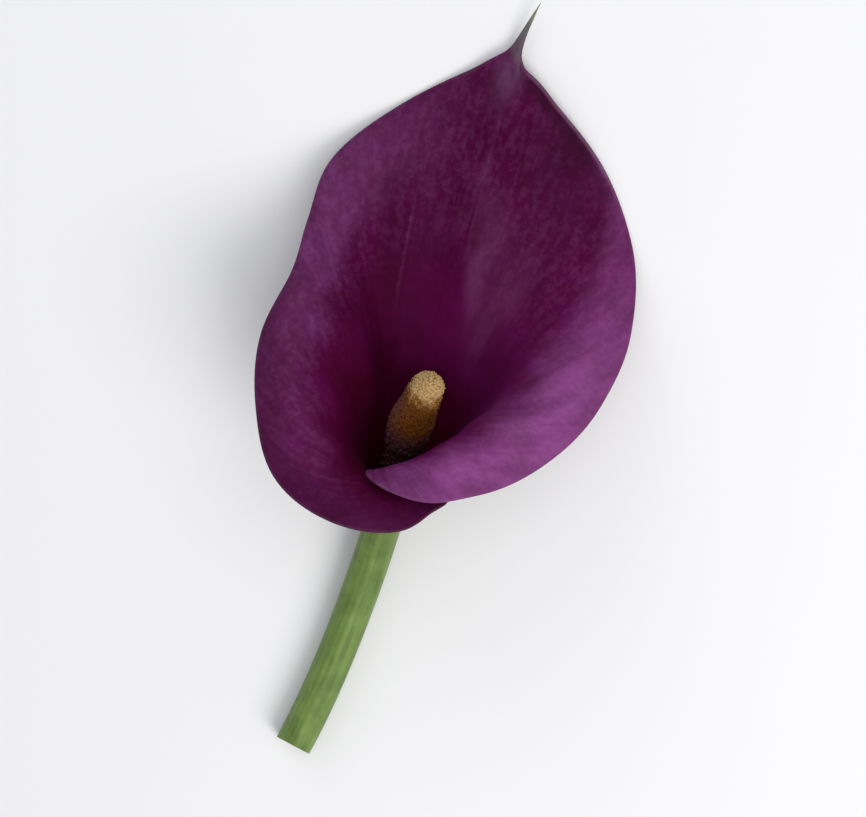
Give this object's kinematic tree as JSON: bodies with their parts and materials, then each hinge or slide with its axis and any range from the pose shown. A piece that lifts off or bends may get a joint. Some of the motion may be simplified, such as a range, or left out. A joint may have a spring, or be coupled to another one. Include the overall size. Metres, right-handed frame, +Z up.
{
  "type": "calla lily flower",
  "caption": "Cut purple calla lily flower laid on its back: a rolled, flared spathe with a tailed tip round a granular yellow spadix, on a short round green stalk.",
  "frame": {"origin": "middle of the underside of the lying flower's box, on the surface that it rests on", "axes": "+Y along the flower from the cut end of the stem to the tail of the spathe, +Z up, +X to the right as seen from the open side with the tail pointing away"},
  "size_m": [0.0718, 0.1724, 0.0468],
  "materials": {
    "spathe": "satin petal, deep wine purple inside, lavender sheen on the flared rim, grey-green tail",
    "spadix": "granular, cream to ochre, covered with small florets and pollen",
    "stem": "smooth green skin with fine lengthwise streaks, pale wet cut end"
  },
  "bodies": {
    "root": {"spathe": "spathe", "spadix": "spadix", "stem": "stem"}
  },
  "joints": []
}
